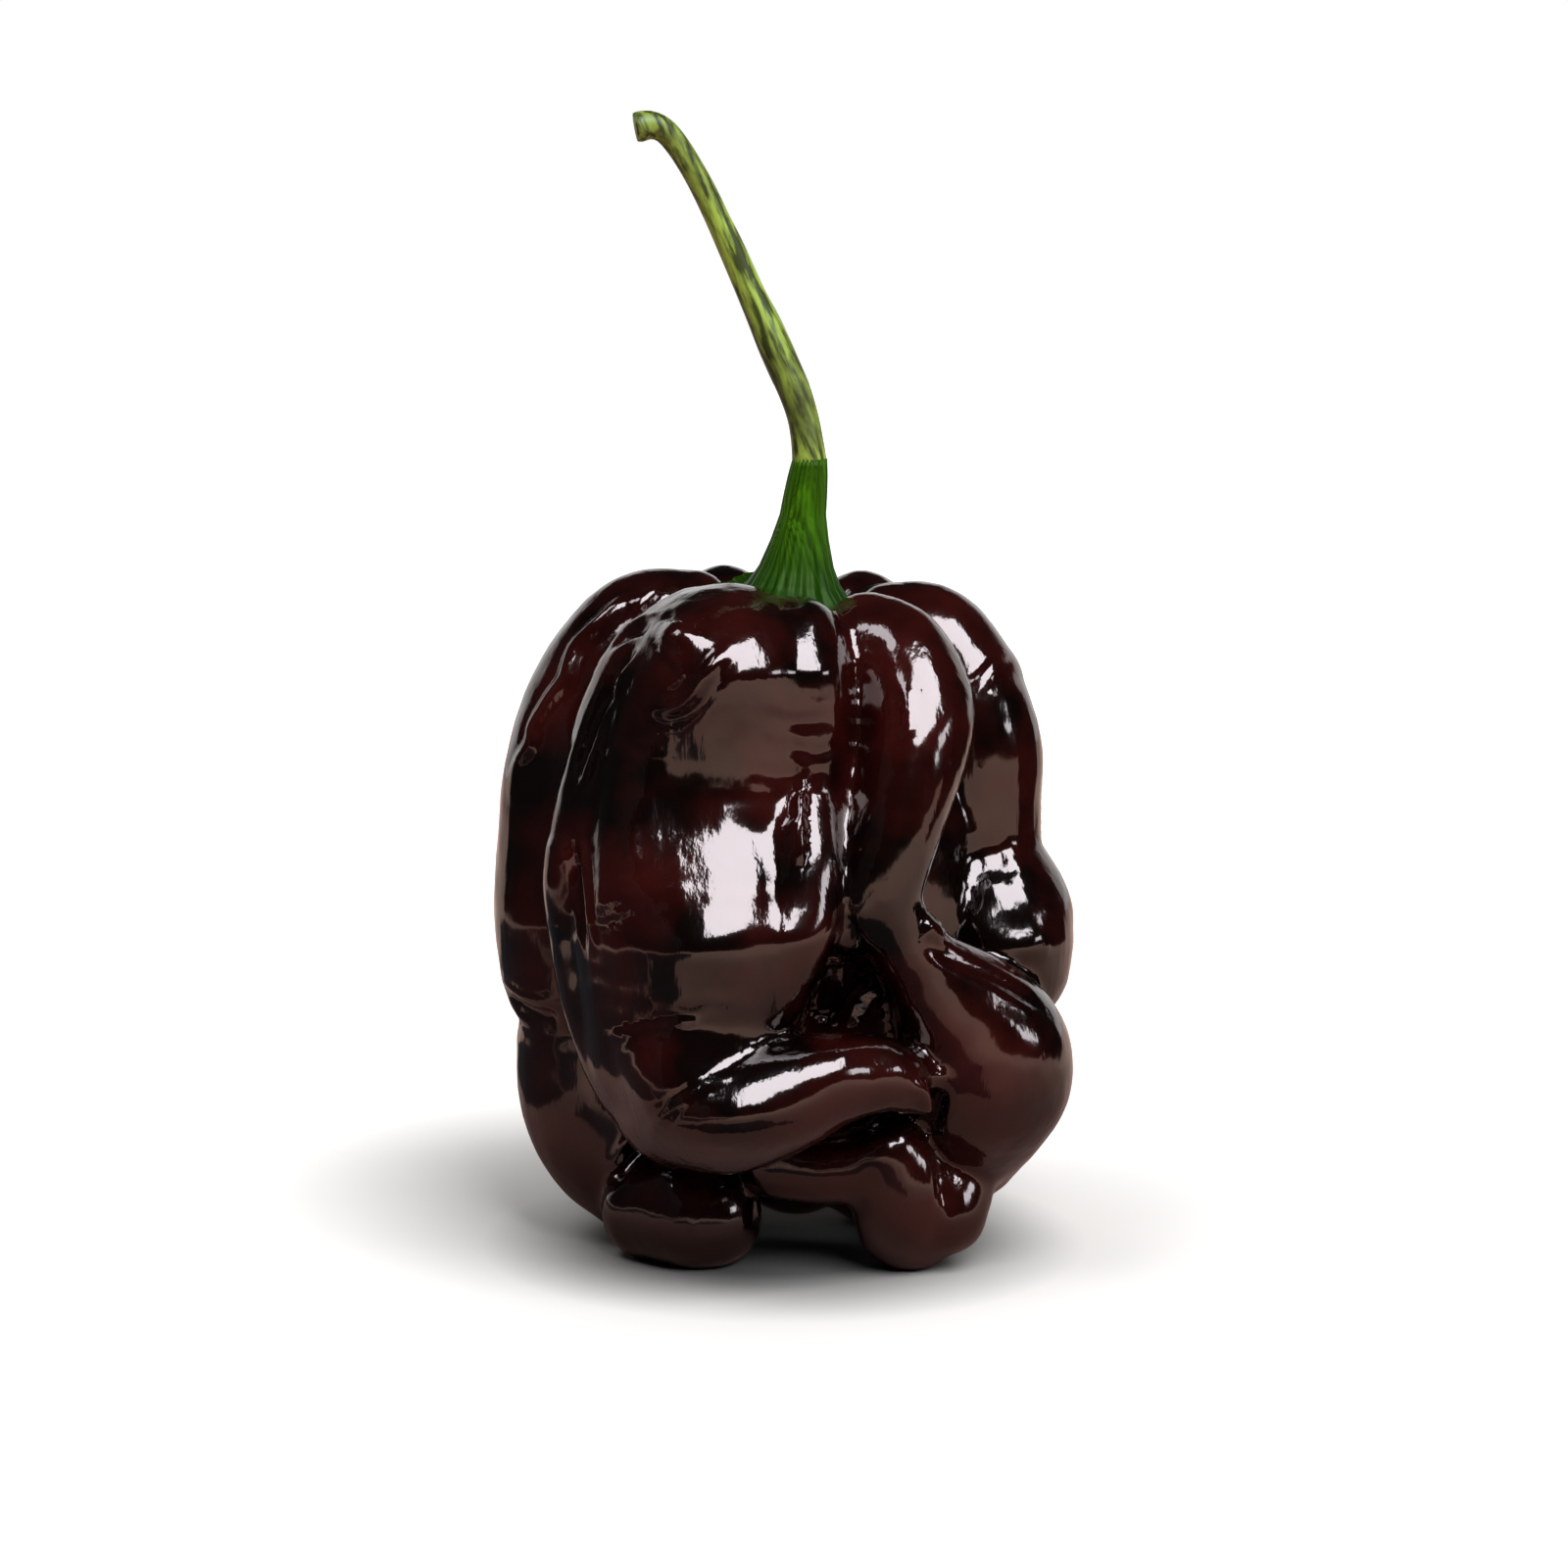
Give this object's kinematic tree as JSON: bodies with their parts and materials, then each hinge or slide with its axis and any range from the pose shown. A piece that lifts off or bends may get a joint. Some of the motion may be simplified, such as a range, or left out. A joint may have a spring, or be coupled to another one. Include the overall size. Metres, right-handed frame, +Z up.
{
  "type": "chilli pepper",
  "caption": "Puckered dark brown habanero-type chilli pepper standing on its lobes, with a green ribbed calyx and a bent stalk.",
  "frame": {"origin": "middle of the whole fruit's footprint, on the surface that it stands on", "axes": "+Z up along the fruit from its lower lobes to the stalk's cut end, -Y the front with the folded lip, +X to the right seen from the front"},
  "size_m": [0.0398, 0.0376, 0.0774],
  "materials": {
    "pod_skin": "glossy waxy dark brown skin",
    "calyx_green": "ribbed fresh green plant tissue",
    "stem_green": "fibrous olive green plant tissue"
  },
  "bodies": {
    "root": {"pod": "pod_skin", "calyx": "calyx_green", "stem": "stem_green"}
  },
  "joints": []
}
